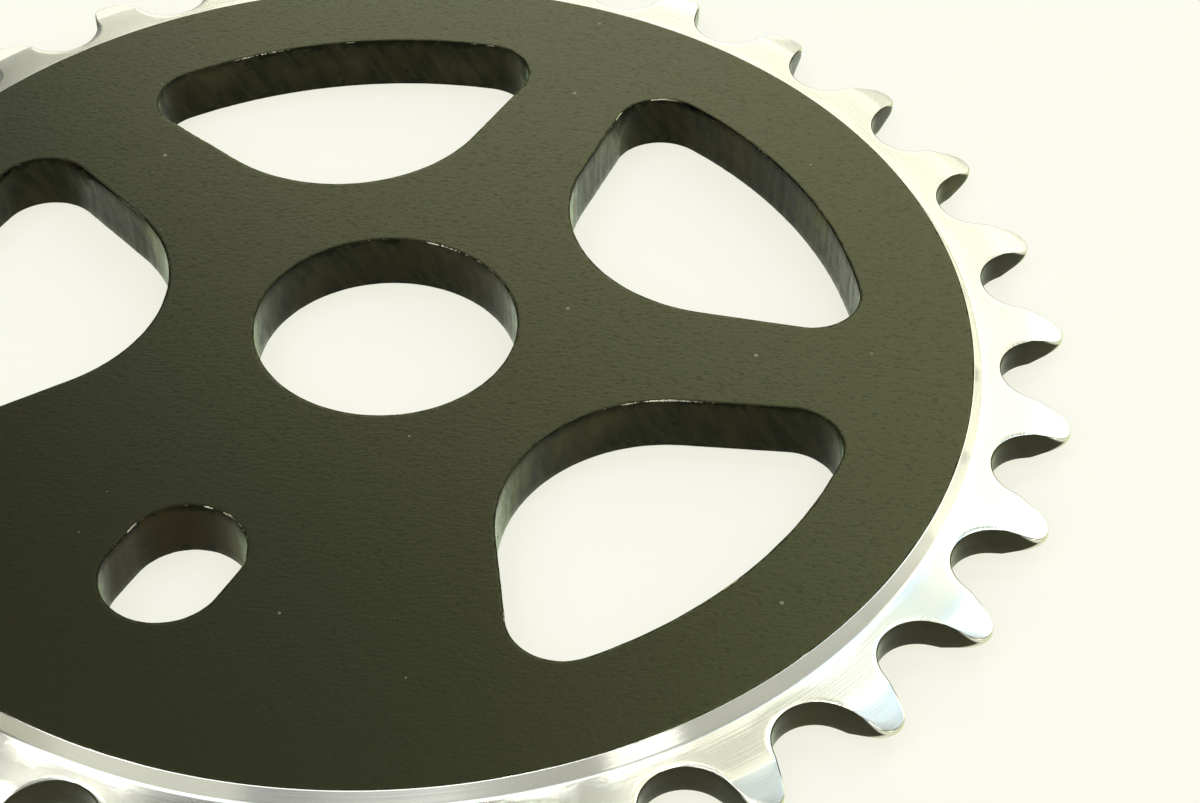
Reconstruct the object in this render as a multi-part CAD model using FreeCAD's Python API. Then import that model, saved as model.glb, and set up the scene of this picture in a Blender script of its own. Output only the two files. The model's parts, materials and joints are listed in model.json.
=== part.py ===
"""A one-piece chainring for a BMX crank, lying on its inner face.

One plate makes the whole part. Its outer band is turned thinner on both sides to carry the teeth, and
each tooth is seated for the chain's rollers and thinned to its tip. The face has a bore for the crank
spindle, a slot for the crank arm's drive bolt, and windows that leave spokes between them.

Millimetres. The origin is the centre of the bore on the inner face, +Z runs along the bore to the outer
face, and the drive slot lies on -Y.
"""
import math
import os

import FreeCAD
import Part
from FreeCAD import Vector

# Chain and teeth
TEETH = 30
CHAIN_PITCH = 12.7
ROLLER_DIAMETER = 7.75
SEAT_CLEARANCE = 0.04        # seat radius over the roller's
SEAT_HALF_ANGLE = 66.0       # degrees of seat on each side of a root
TIP_HEIGHT = 2.6             # tooth tips above the pitch circle

# Section, the same on both sides
PLATE_THICKNESS = 5.6
TOOTH_THICKNESS = 2.9
TIP_THICKNESS = 0.6
CHAMFER_WIDTH = 3.25         # tooth chamfer, measured along the radius
BEVEL_WIDTH = 0.8            # bevel between the plate's face and the toothed band
LAND_WIDTH = 1.75            # flat band between the bevel and the tooth roots

# Bore and drive slot
BORE_DIAMETER = 24.3
SLOT_RADIUS = 34.3           # slot's middle from the bore's axis
SLOT_WIDTH = 10.7
SLOT_TRAVEL = 3.05           # straight length between the slot's round ends

# Windows: one sector of the face keeps the slot, and each other sector has a window
SECTORS = 5
HUB_WALL = 9.0               # bore to window
RIM_WALL = 9.75              # window to the face's edge
SPOKE_WIDTH = 10.3           # at the rim end
SPOKE_TAPER = 3.5            # degrees that each side of a spoke leans out towards the hub
WINDOW_CORNER = 4.8
WINDOW_TURN = 1.85           # degrees that the windows are turned from even sectors about the slot

# Sizes that follow
PITCH_RADIUS = CHAIN_PITCH / (2 * math.sin(math.pi / TEETH))
SEAT_RADIUS = ROLLER_DIAMETER / 2 + SEAT_CLEARANCE
ROOT_RADIUS = PITCH_RADIUS - SEAT_RADIUS
TIP_RADIUS = PITCH_RADIUS + TIP_HEIGHT
BAND_RADIUS = ROOT_RADIUS - LAND_WIDTH
FACE_RADIUS = BAND_RADIUS - BEVEL_WIDTH
BORE_RADIUS = BORE_DIAMETER / 2
BAND_STEP = (PLATE_THICKNESS - TOOTH_THICKNESS) / 2
SLOT_ANGLE = -90.0
CUT_MARGIN = 1.0             # how far a cutter stands out of what it cuts
TOLERANCE = 1e-6


def mirrored(point):
    """The same point on the other side of the X axis."""
    return Vector(point.x, -point.y, point.z)


def arc(start, middle, end):
    return Part.Arc(start, middle, end).toShape()


def line(start, end):
    return Part.LineSegment(start, end).toShape()


def cutter(edges):
    """A closed outline in the plane, raised to a prism that passes both faces of the plate."""
    prism = Part.Face(Part.Wire(edges)).extrude(Vector(0, 0, PLATE_THICKNESS + 2 * CUT_MARGIN))
    prism.translate(Vector(0, 0, -CUT_MARGIN))
    return prism


def turned(shape, degrees):
    """A copy of a shape, turned about the bore's axis."""
    copy = shape.copy()
    copy.rotate(Vector(0, 0, 0), Vector(0, 0, 1), degrees)
    return copy


def blank():
    """The turned blank: half of its section spun about the bore. It runs past the tooth tips, so that
    their outline can be cut out of it, until it is half as thick as they are."""
    slope = (TOOTH_THICKNESS - TIP_THICKNESS) / 2 / CHAMFER_WIDTH
    past_tips = TIP_THICKNESS / 4
    inner_side = [
        (BORE_RADIUS, 0),
        (FACE_RADIUS, 0),
        (BAND_RADIUS, BAND_STEP),
        (TIP_RADIUS - CHAMFER_WIDTH, BAND_STEP),
        (TIP_RADIUS + past_tips / slope, BAND_STEP + slope * CHAMFER_WIDTH + past_tips),
    ]
    outer_side = [(radius, PLATE_THICKNESS - height) for radius, height in reversed(inner_side)]
    section = [Vector(radius, 0, height) for radius, height in inner_side + outer_side]
    section.append(section[0])
    return Part.Face(Part.makePolygon(section)).revolve(Vector(0, 0, 0), Vector(0, 0, 1), 360)


def teeth():
    """The outline of all teeth, raised to a prism. Round seats hold the chain's rollers, and between two
    seats the straight flanks of a tooth run on to its round nose."""
    step = 360 / TEETH
    seat_turn = math.radians(SEAT_HALF_ANGLE)
    into_tooth = Vector(-math.cos(seat_turn), math.sin(seat_turn), 0)
    up_flank = Vector(math.sin(seat_turn), math.cos(seat_turn), 0)
    tooth_axis = Vector(math.cos(math.pi / TEETH), math.sin(math.pi / TEETH), 0)
    root = Vector(ROOT_RADIUS, 0, 0)
    seat_end = Vector(PITCH_RADIUS, 0, 0) + into_tooth * SEAT_RADIUS
    # The nose stands on the tooth's axis, touches the flank and reaches the tip.
    slant = tooth_axis.dot(into_tooth)
    nose_radius = (TIP_RADIUS * slant - seat_end.dot(into_tooth)) / (1 + slant)
    nose_centre = tooth_axis * (TIP_RADIUS - nose_radius)
    flank_end = seat_end + up_flank * (nose_centre - seat_end).dot(up_flank)
    seat = arc(mirrored(seat_end), root, seat_end)
    flank = line(seat_end, flank_end)
    next_flank = turned(line(mirrored(flank_end), mirrored(seat_end)), step)
    nose = arc(flank_end, tooth_axis * TIP_RADIUS, next_flank.Vertexes[0].Point)
    pitch = [seat, flank, nose, next_flank]
    first_gap = SLOT_ANGLE + step / 2
    return cutter([turned(edge, first_gap + step * count) for count in range(TEETH) for edge in pitch])


def window():
    """A window on +X: round towards the hub, straight along the spokes, and concentric along the rim."""
    lean = math.radians(180 / SECTORS + SPOKE_TAPER)
    along = Vector(math.cos(lean), math.sin(lean), 0)
    outward = Vector(-math.sin(lean), math.cos(lean), 0)
    rim = FACE_RADIUS - RIM_WALL
    hub = BORE_RADIUS + HUB_WALL
    # The two sides meet, if they ran on, at a point on the window's axis.
    meeting = (SPOKE_WIDTH / 2 + rim * math.sin(math.radians(SPOKE_TAPER))) / math.sin(lean)
    hub_arc = (hub - meeting) / (1 / math.sin(lean) - 1)
    side_start = Vector(hub + hub_arc, 0, 0) + outward * hub_arc
    side_end = side_start + along * rim
    wedge = cutter([
        arc(mirrored(side_start), Vector(hub, 0, 0), side_start),
        line(side_start, side_end),
        line(side_end, mirrored(side_end)),
        line(mirrored(side_end), mirrored(side_start)),
    ])
    opening = wedge.common(turned(cutter([Part.makeCircle(rim)]), 180))
    corners = [edge for edge in opening.Edges if is_upright_at(edge, rim)]
    return opening.makeFillet(WINDOW_CORNER, corners)


def is_upright_at(edge, radius):
    """Whether an edge runs straight up at a distance from the bore's axis."""
    start = edge.Vertexes[0].Point
    end = edge.Vertexes[-1].Point
    upright = math.hypot(end.x - start.x, end.y - start.y) < TOLERANCE < edge.Length
    return upright and abs(math.hypot(start.x, start.y) - radius) < TOLERANCE


def drive_slot():
    """The drive bolt's slot on +X, long along the radius so that the bolt finds its place."""
    end_radius = SLOT_WIDTH / 2
    near = SLOT_RADIUS - SLOT_TRAVEL / 2
    far = SLOT_RADIUS + SLOT_TRAVEL / 2
    near_corner = Vector(near, end_radius, 0)
    far_corner = Vector(far, end_radius, 0)
    return cutter([
        arc(mirrored(near_corner), Vector(near - end_radius, 0, 0), near_corner),
        line(near_corner, far_corner),
        arc(far_corner, Vector(far + end_radius, 0, 0), mirrored(far_corner)),
        line(mirrored(far_corner), mirrored(near_corner)),
    ])


def chainring():
    """The blank trimmed to its teeth, with windows and slot cut through it. A tooth stands over the slot."""
    sector = 360 / SECTORS
    opening = window()
    windows = [turned(opening, SLOT_ANGLE + WINDOW_TURN + sector * count) for count in range(1, SECTORS)]
    slot = turned(drive_slot(), SLOT_ANGLE)
    return blank().common(teeth()).cut(windows + [slot]).Solids[0]


def main():
    part = chainring()
    os.makedirs("parts", exist_ok=True)
    part.exportStep("parts/chainring.step")
    box = part.BoundBox
    print(f"valid {part.isValid()}, {len(part.Faces)} faces, volume {part.Volume:.1f} mm3")
    print(f"box {box.XLength:.2f} x {box.YLength:.2f} x {box.ZLength:.2f} mm")
    print(f"pitch radius {PITCH_RADIUS:.3f}, root {ROOT_RADIUS:.3f}, tip {TIP_RADIUS:.3f}, face {FACE_RADIUS:.3f}")


main()
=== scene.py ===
# %% [markdown]
# # A BMX chainring, dressed for the camera
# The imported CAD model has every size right, but it is plain. This lesson builds the surface that the
# eye sees round the same sizes: a coated plate, a toothed ring turned bare on a lathe, and holes whose
# walls keep the marks of the cut. Lengths are written in millimetres, as a maker would write them, and
# become Blender's metres where a mesh is made.

# %% Load the frame
import json
import math

import bmesh
import bpy
import numpy as np
from mathutils import Matrix, Vector


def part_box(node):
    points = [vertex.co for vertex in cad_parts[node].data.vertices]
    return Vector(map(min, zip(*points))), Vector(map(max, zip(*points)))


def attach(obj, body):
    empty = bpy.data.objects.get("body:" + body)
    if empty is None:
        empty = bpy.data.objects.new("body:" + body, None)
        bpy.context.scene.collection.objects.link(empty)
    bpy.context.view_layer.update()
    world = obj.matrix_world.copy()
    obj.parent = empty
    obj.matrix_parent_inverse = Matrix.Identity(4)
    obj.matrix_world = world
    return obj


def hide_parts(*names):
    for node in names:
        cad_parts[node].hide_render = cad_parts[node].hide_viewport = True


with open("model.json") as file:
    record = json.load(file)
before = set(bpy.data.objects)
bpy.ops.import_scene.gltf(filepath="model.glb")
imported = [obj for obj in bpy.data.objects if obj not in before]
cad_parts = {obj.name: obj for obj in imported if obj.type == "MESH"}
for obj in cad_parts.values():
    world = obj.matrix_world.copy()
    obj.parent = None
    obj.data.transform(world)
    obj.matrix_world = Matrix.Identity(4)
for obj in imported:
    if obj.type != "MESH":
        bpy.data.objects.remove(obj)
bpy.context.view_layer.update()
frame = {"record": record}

MM = 0.001

# %% [markdown]
# ## Sizes
# The record states the sizes that other parts meet: the bore, the drive slot and the chain. They are
# read from the frame, so the surface can't drift away from the CAD. The shape between those places is
# nobody else's business, so its sizes are written here under a maker's names.

# %% Sizes that the frame states
mounts = {mount["name"]: mount for mount in frame["record"]["mounts"]}
node_low, node_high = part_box("chainring")
slot_middle = Vector(mounts["drive_slot"]["pos_m"]) / MM
PLATE = (node_high.z - node_low.z) / MM
TIP_RADIUS = (node_high.y - node_low.y) / 2 / MM
BORE_RADIUS = mounts["spindle_bore"]["dims"]["r_mm"]
SLOT_END = mounts["drive_slot"]["dims"]["hole_r_mm"]
SLOT_LENGTH = mounts["drive_slot"]["dims"]["slot_length_mm"]
SLOT_RADIUS = slot_middle.xy.length
SLOT_ANGLE = math.degrees(math.atan2(slot_middle.y, slot_middle.x))
PITCH_RADIUS = mounts["chain_teeth"]["dims"]["pcd_mm"] / 2
TEETH = mounts["chain_teeth"]["dims"]["count"]
print(f"plate {PLATE:.2f} mm thick, {TEETH} teeth to radius {TIP_RADIUS:.2f} mm, "
      f"slot at {SLOT_ANGLE:.0f} degrees")

# %% Sizes of the teeth, the section and the windows
SEAT_RADIUS = 3.915          # a chain roller's radius and a little clearance
SEAT_HALF_ANGLE = 66.0       # degrees of seat on each side of a root
TOOTH_THICKNESS = 2.9
TIP_THICKNESS = 0.6
CHAMFER_WIDTH = 3.25         # tooth chamfer, along the radius
BEVEL_WIDTH = 0.8            # from the coated face down to the toothed band
LAND_WIDTH = 1.75            # flat band between the bevel and the tooth roots
SECTORS = 5                  # the slot has one sector of the face, and windows have the others
HUB_WALL = 9.0
RIM_WALL = 9.75
SPOKE_WIDTH = 10.3
SPOKE_TAPER = 3.5            # degrees
WINDOW_CORNER = 4.8
WINDOW_TURN = 1.85           # degrees that the windows are turned from even sectors

ROOT_RADIUS = PITCH_RADIUS - SEAT_RADIUS
BAND_RADIUS = ROOT_RADIUS - LAND_WIDTH
FACE_RADIUS = BAND_RADIUS - BEVEL_WIDTH
BAND_STEP = (PLATE - TOOTH_THICKNESS) / 2
CREASE_RADIUS = TIP_RADIUS - CHAMFER_WIDTH
CHAMFER_DROP = (TOOTH_THICKNESS - TIP_THICKNESS) / 2
print(f"coated face to radius {FACE_RADIUS:.2f} mm, tooth roots at {ROOT_RADIUS:.2f} mm")

# %% [markdown]
# ## Outlines from arcs and lines
# Every hole in the plate was cut along arcs and straight lines. A modeller could draw them as Bezier
# curves, but a Bezier only comes near to a true arc. Here each arc is stepped off as points with equal
# spaces, which keeps the outline exact and gives an even mesh. Outlines run anticlockwise, and lie on
# +X until they are turned into place.

# %% Arcs and lines as points
def arc(centre, radius, start, end, spacing):
    """Points along an arc, from a start angle up to but not including the end angle, in degrees."""
    count = max(2, math.ceil(abs(math.radians(end - start)) * radius / spacing))
    angles = np.radians(np.linspace(start, end, count, endpoint=False))
    return np.asarray(centre) + radius * np.column_stack([np.cos(angles), np.sin(angles)])


def line(start, end, spacing):
    """Points along a straight line, without its last one."""
    start, end = np.asarray(start), np.asarray(end)
    count = math.ceil(np.linalg.norm(end - start) / spacing)
    return start + np.linspace(0, 1, count, endpoint=False)[:, None] * (end - start)


def right_hand(path):
    """Unit vectors that point to the right of a closed path."""
    ahead = np.roll(path, -1, axis=0) - np.roll(path, 1, axis=0)
    ahead /= np.linalg.norm(ahead, axis=1, keepdims=True)
    return np.column_stack([ahead[:, 1], -ahead[:, 0]])


def direction(degrees):
    return np.array([math.cos(math.radians(degrees)), math.sin(math.radians(degrees))])


# %% Outlines of the bore, the slot and a window
HOLE_SPACING = 0.25          # between two points of an outline
MIRROR = np.array([1, -1])

bore_outline = arc((0, 0), BORE_RADIUS, 0, 360, HOLE_SPACING)

slot_near = np.array([SLOT_RADIUS - SLOT_LENGTH / 2 + SLOT_END, 0])
slot_far = np.array([SLOT_RADIUS + SLOT_LENGTH / 2 - SLOT_END, 0])
slot_side = np.array([0, SLOT_END])
slot_outline = np.concatenate([
    arc(slot_far, SLOT_END, -90, 90, HOLE_SPACING),
    line(slot_far + slot_side, slot_near + slot_side, HOLE_SPACING),
    arc(slot_near, SLOT_END, 90, 270, HOLE_SPACING),
    line(slot_near - slot_side, slot_far - slot_side, HOLE_SPACING),
])


def window_outline():
    """Concentric along the rim, straight along the spokes and round towards the hub."""
    lean = 180 / SECTORS + SPOKE_TAPER
    along, outward = direction(lean), direction(lean + 90)
    rim = FACE_RADIUS - RIM_WALL
    hub = BORE_RADIUS + HUB_WALL
    sine = math.sin(math.radians(lean))
    sides_meet = (SPOKE_WIDTH / 2 + rim * math.sin(math.radians(SPOKE_TAPER))) / sine
    hub_radius = (hub - sides_meet) / (1 / sine - 1)
    hub_centre = np.array([hub + hub_radius, 0])
    side_start = hub_centre + outward * hub_radius
    # The corner's centre is a corner radius in from the side and from the rim.
    corner_line = side_start - outward * WINDOW_CORNER
    ahead = corner_line @ along
    reach = math.sqrt(ahead**2 - corner_line @ corner_line + (rim - WINDOW_CORNER) ** 2) - ahead
    corner = corner_line + along * reach
    side_end = corner + outward * WINDOW_CORNER
    turn = math.degrees(math.atan2(corner[1], corner[0]))
    return np.concatenate([
        arc((0, 0), rim, -turn, turn, HOLE_SPACING),
        arc(corner, WINDOW_CORNER, turn, lean + 90, HOLE_SPACING),
        line(side_end, side_start, HOLE_SPACING),
        arc(hub_centre, hub_radius, lean + 90, 270 - lean, HOLE_SPACING),
        line(side_start * MIRROR, side_end * MIRROR, HOLE_SPACING),
        arc(corner * MIRROR, WINDOW_CORNER, -lean - 90, -turn, HOLE_SPACING),
    ])


window_edge = window_outline()
print(f"points: bore {len(bore_outline)}, slot {len(slot_outline)}, window {len(window_edge)}")

# %% [markdown]
# ## Strips
# A strip is a band of quads: columns along an outline, rows along a section. The wall of each hole is
# one strip, with a narrow collar of the coated face round each end, and its edges are slightly
# rounded, because no real edge is sharp and the rounding is what catches the light. Four attributes
# ride along: the zone says which finish a face has, edge is 1 where the coat meets a cut, cut says how
# far the cutting marks may move a point, and stain says how brown old grease has left a wall.

# %% Build a strip
COAT, TURNED, CUT = 0, 1, 2


def strip(name, grid, row_zones, row_edge, row_cut, closed, flip, stain=0.0):
    """A mesh object from a grid of points in millimetres: columns, rows, and x y z."""
    columns, rows = grid.shape[:2]
    here = np.arange(columns * rows).reshape(columns, rows)
    ahead = np.roll(here, -1, axis=0)
    if not closed:
        here, ahead = here[:-1], ahead[:-1]
    quads = np.stack([here[:, :-1], ahead[:, :-1], ahead[:, 1:], here[:, 1:]], axis=-1).reshape(-1, 4)
    if flip:
        quads = quads[:, ::-1]
    mesh = bpy.data.meshes.new(name)
    mesh.from_pydata((grid.reshape(-1, 3) * MM).tolist(), [], quads.tolist(), shade_flat=False)
    zone = mesh.attributes.new("zone", "INT", "FACE")
    zone.data.foreach_set("value", np.tile(row_zones, len(here)).astype(np.int32))
    for label, values in (("edge", row_edge), ("cut", row_cut), ("stain", [stain] * rows)):
        attribute = mesh.attributes.new(label, "FLOAT", "POINT")
        attribute.data.foreach_set("value", np.tile(values, columns).astype(np.float32))
    piece = bpy.data.objects.new(name, mesh)
    bpy.context.scene.collection.objects.link(piece)
    print(f"{name}: {columns} columns, {rows} rows")
    return piece


# %% Walls of the holes
EDGE_RADIUS = 0.10           # rounding of a hole's edges
COLLAR = 0.3                 # width of coated face that goes with a strip
WALL_STEPS = 6
EDGE_CUT = 0.6               # share of the cutting marks that reaches the edge
SLOT_STAIN = 0.85

quarter = np.radians([0, 30, 60, 90])
inset = np.concatenate([[EDGE_RADIUS + COLLAR], EDGE_RADIUS * (1 - np.sin(quarter))])
drop = np.concatenate([[0], EDGE_RADIUS * (1 - np.cos(quarter))])
levels = np.linspace(PLATE - EDGE_RADIUS, EDGE_RADIUS, WALL_STEPS + 1)[1:-1]
wall_inset = np.concatenate([inset, 0 * levels, inset[::-1]])
wall_height = np.concatenate([PLATE - drop, levels, drop[::-1]])
wall_edge = np.concatenate([[0], np.ones(len(wall_inset) - 2), [0]])
wall_cut = np.concatenate([[0, EDGE_CUT], np.ones(len(wall_inset) - 4), [EDGE_CUT, 0]])
wall_zones = np.concatenate([[COAT], np.full(len(wall_inset) - 3, CUT), [COAT]])


def hole_wall(name, outline, stain=0.0):
    into_metal = right_hand(outline)
    plan = outline[:, None, :] + into_metal[:, None, :] * wall_inset[None, :, None]
    height = np.broadcast_to(wall_height[None, :, None], plan.shape[:2] + (1,))
    grid = np.concatenate([plan, height], axis=2)
    return strip(name, grid, wall_zones, wall_edge, wall_cut, closed=True, flip=False, stain=stain)


bore_wall = hole_wall("bore_wall", bore_outline)
slot_wall = hole_wall("slot_wall", slot_outline, stain=SLOT_STAIN)
window_wall = hole_wall("window_wall", window_edge)

# %% [markdown]
# ## One tooth gap
# The toothed ring repeats every 12 degrees, so only one gap is modelled, from the middle of one tooth
# to the middle of the next. Its outline is a round seat for a chain roller, a straight flank on each
# side and half of a round nose at each end. Its section comes from the lathe: face, bevel, land, and the
# chamfer that thins each tooth. A boolean of a turned blank would give the same shape, but with ragged
# triangles that shade badly.

# %% Outline of one gap
FINE = 0.03                  # spacing of the outline that the columns are chosen from
HALF_PITCH = 180 / TEETH     # degrees
PAST_MIDDLE = 10             # degrees of nose beyond the middle of the tooth

seat_centre = np.array([PITCH_RADIUS, 0])
into_tooth = direction(180 - SEAT_HALF_ANGLE)
up_flank = direction(90 - SEAT_HALF_ANGLE)
tooth_axis = direction(HALF_PITCH)
seat_end = seat_centre + into_tooth * SEAT_RADIUS
slant = tooth_axis @ into_tooth
nose_radius = (TIP_RADIUS * slant - seat_end @ into_tooth) / (1 + slant)
nose_centre = tooth_axis * (TIP_RADIUS - nose_radius)
flank_end = seat_end + up_flank * ((nose_centre - seat_end) @ up_flank)
half_outline = np.concatenate([
    arc(seat_centre, SEAT_RADIUS, 180, 180 - SEAT_HALF_ANGLE, FINE),
    line(seat_end, flank_end, FINE),
    arc(nose_centre, nose_radius, -SEAT_HALF_ANGLE, HALF_PITCH + PAST_MIDDLE, FINE),
])
gap_outline = np.concatenate([half_outline[:0:-1] * MIRROR, half_outline])
print(f"tooth nose radius {nose_radius:.2f} mm")

# %% Choose the columns of the gap
TOOTH_EDGE = 0.12            # rounding of a tooth's edges
CREASE_SOFTNESS = 0.1        # half the width of the soft line where the chamfer starts
SEAT_COLUMNS, FLANK_COLUMNS, NOSE_COLUMNS = 13, 5, 9

steps = np.diff(gap_outline, axis=0)
length = np.concatenate([[0], np.cumsum(np.linalg.norm(steps, axis=1))])
heading = np.gradient(gap_outline, axis=0)
heading /= np.linalg.norm(heading, axis=1, keepdims=True)
out_of_metal = np.column_stack([heading[:, 1], -heading[:, 0]])
shoulder = gap_outline - out_of_metal * TOOTH_EDGE
shoulder_radius = np.linalg.norm(shoulder, axis=1)
shoulder_angle = np.degrees(np.arctan2(shoulder[:, 1], shoulder[:, 0]))

root_at = length[-1] / 2
tooth_middle = np.interp(HALF_PITCH, shoulder_angle, length)
nose_at = np.interp(math.degrees(math.atan2(flank_end[1], flank_end[0])), shoulder_angle, length)
rising = (length >= root_at) & (length <= tooth_middle)
crease_at = np.interp([CREASE_RADIUS - CREASE_SOFTNESS, CREASE_RADIUS + CREASE_SOFTNESS],
                      shoulder_radius[rising], length[rising])
upper_columns = np.unique(np.concatenate([
    np.linspace(root_at, crease_at[0], SEAT_COLUMNS),
    crease_at,
    np.linspace(crease_at[1], nose_at, FLANK_COLUMNS),
    np.linspace(nose_at, tooth_middle, NOSE_COLUMNS),
]).round(6))
columns_at = np.concatenate([2 * root_at - upper_columns[:0:-1], upper_columns])


def at_columns(values):
    return np.column_stack([np.interp(columns_at, length, values[:, axis]) for axis in range(2)])


edge_points, edge_out = at_columns(gap_outline), at_columns(out_of_metal)
edge_out /= np.linalg.norm(edge_out, axis=1, keepdims=True)
print(f"{len(columns_at)} columns from one tooth's middle to the next")

# %% Section of the turned ring
def bend(before, corner, after):
    """Three points that round a corner of the section."""
    before, corner, after = map(np.asarray, (before, corner, after))
    return [before, (before + 2 * corner + after) / 4, after]


RIM_EDGE = 0.05              # rounding between the coated face and the bevel
FOOT_ROUND = 0.2             # rounding at the bevel's foot
bevel_length = math.hypot(BEVEL_WIDTH, BAND_STEP)
down_bevel = np.array([BEVEL_WIDTH, -BAND_STEP]) / bevel_length
rim_corner = np.array([FACE_RADIUS, PLATE])
foot_corner = np.array([BAND_RADIUS, PLATE - BAND_STEP])
flat = np.array([1, 0])
ring_section = np.array(
    [rim_corner - flat * (RIM_EDGE + COLLAR)]
    + bend(rim_corner - flat * RIM_EDGE, rim_corner, rim_corner + down_bevel * RIM_EDGE)
    + bend(foot_corner - down_bevel * FOOT_ROUND, foot_corner, foot_corner + flat * FOOT_ROUND)
)


def turned_height(radius):
    """Height of the upper side, past the bevel: level, then falling along the tooth's chamfer."""
    past = np.clip((radius - CREASE_RADIUS) / CHAMFER_WIDTH, 0, None)
    return PLATE - BAND_STEP - CHAMFER_DROP * past


print("turned section:", ", ".join(f"{radius:.2f} at {height:.2f}" for radius, height in ring_section))

# %% One gap as a strip
LAND_ROWS = np.array([0.35, 0.7, 1.0])       # shares of the way across
CHAMFER_ROWS = np.array([0.3, 0.65, 1.0])
TOOTH_WALL_STEPS = 3
FLANK_CUT = 0.35                             # cutting marks on a tooth, as a share of a hole's


def gap_rows():
    """Rows of the upper side and half of the wall, from the coated face outwards: plan and height."""
    top = edge_points - edge_out * TOOTH_EDGE
    reach = np.linalg.norm(top, axis=1)
    ray = top / reach[:, None]
    land_end = np.minimum(CREASE_RADIUS - CREASE_SOFTNESS, reach)
    chamfer_start = np.minimum(CREASE_RADIUS + CREASE_SOFTNESS, reach)
    land_start = ring_section[-1, 0]
    radii = [np.full(len(reach), radius) for radius in ring_section[:, 0]]
    radii += [land_start + (land_end - land_start) * part for part in LAND_ROWS]
    radii += [chamfer_start]
    radii += [chamfer_start + (reach - chamfer_start) * part for part in CHAMFER_ROWS]
    rows = [np.column_stack([ray * radius[:, None], turned_height(radius)]) for radius in radii]
    for row, height in enumerate(ring_section[:, 1]):
        rows[row][:, 2] = height
    for angle in quarter[1:]:
        plan = top + edge_out * TOOTH_EDGE * math.sin(angle)
        fall = TOOTH_EDGE * (1 - math.cos(angle))
        rows.append(np.column_stack([plan, turned_height(np.linalg.norm(plan, axis=1)) - fall]))
    return rows


upper_rows = gap_rows()
lower_rows = [row * [1, 1, -1] + [0, 0, PLATE] for row in reversed(upper_rows)]
wall_rows = [upper_rows[-1] + (lower_rows[0] - upper_rows[-1]) * part
             for part in np.linspace(0, 1, TOOTH_WALL_STEPS + 1)[1:-1]]
gap_grid = np.stack(upper_rows + wall_rows + lower_rows, axis=1)
ring_count = len(upper_rows) - len(quarter)
half_zones = [COAT] + [TURNED] * (ring_count - 1)
gap_zones = half_zones + [CUT] * (len(gap_grid[0]) - 1 - 2 * len(half_zones)) + half_zones[::-1]
rim_edge_rows = [0, 1] + [0] * (len(gap_grid[0]) - 4) + [1, 0]
half_cut = [0] * len(upper_rows)
half_cut[-2:] = [FLANK_CUT / 2, FLANK_CUT]
gap_cut = half_cut + [FLANK_CUT] * len(wall_rows) + half_cut[::-1]
tooth_gap = strip("tooth_gap", gap_grid, gap_zones, rim_edge_rows, gap_cut, closed=False, flip=True)

# %% [markdown]
# ## Finishes
# The chainring is aluminium plate. Its two faces carry a matte black coat, the toothed band was turned
# through that coat down to bright metal, and the holes and teeth were cut through both. Pictures of such
# surfaces could be wrapped round the ring, but they would stretch on the walls and hold one light for
# ever. Here each finish is one Principled material, and its patterns are noises with sizes in
# millimetres. One small function adds any node, to a material or to a Geometry Nodes tree.

# %% Helpers for node trees and finishes
def add(tree, kind, inputs=None, **settings):
    """Adds a node. An input is a value or another node's output, by the input's name or number."""
    node = tree.nodes.new(kind)
    for name, value in settings.items():
        setattr(node, name, value)
    for key, value in (inputs or {}).items():
        if isinstance(value, bpy.types.NodeSocket):
            tree.links.new(value, node.inputs[key])
        else:
            node.inputs[key].default_value = value
    return node


def linear(hex_code):
    """An sRGB colour such as #808080 as the linear values that shaders use."""
    parts = [int(hex_code[place:place + 2], 16) / 255 for place in (1, 3, 5)]
    return [part / 12.92 if part <= 0.04045 else ((part + 0.055) / 1.055) ** 2.4 for part in parts] + [1]


def per_mm(size):
    """A texture scale that gives features of about this size in millimetres."""
    return 1 / (size * MM)


def new_finish(name):
    """A material, its tree and its shader."""
    finish = bpy.data.materials.new(name)
    finish.use_nodes = True
    return finish, finish.node_tree, finish.node_tree.nodes["Principled BSDF"]


# %% [markdown]
# ### The coat and its edges
# The coat is thin, black and baked on. Where the holes were cut through it, it has chipped off in flakes,
# and the heat has dulled it. A painted mask could hold each chip, but a noise gives ragged flakes at any
# distance, and needs only an attribute that says where the edges are.

# %% Chipped edges
FLAKE = 1.0
FLAKE_GROUP = 8.0
BURN = 0.42                  # how much more easily an edge burns than the open face


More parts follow.
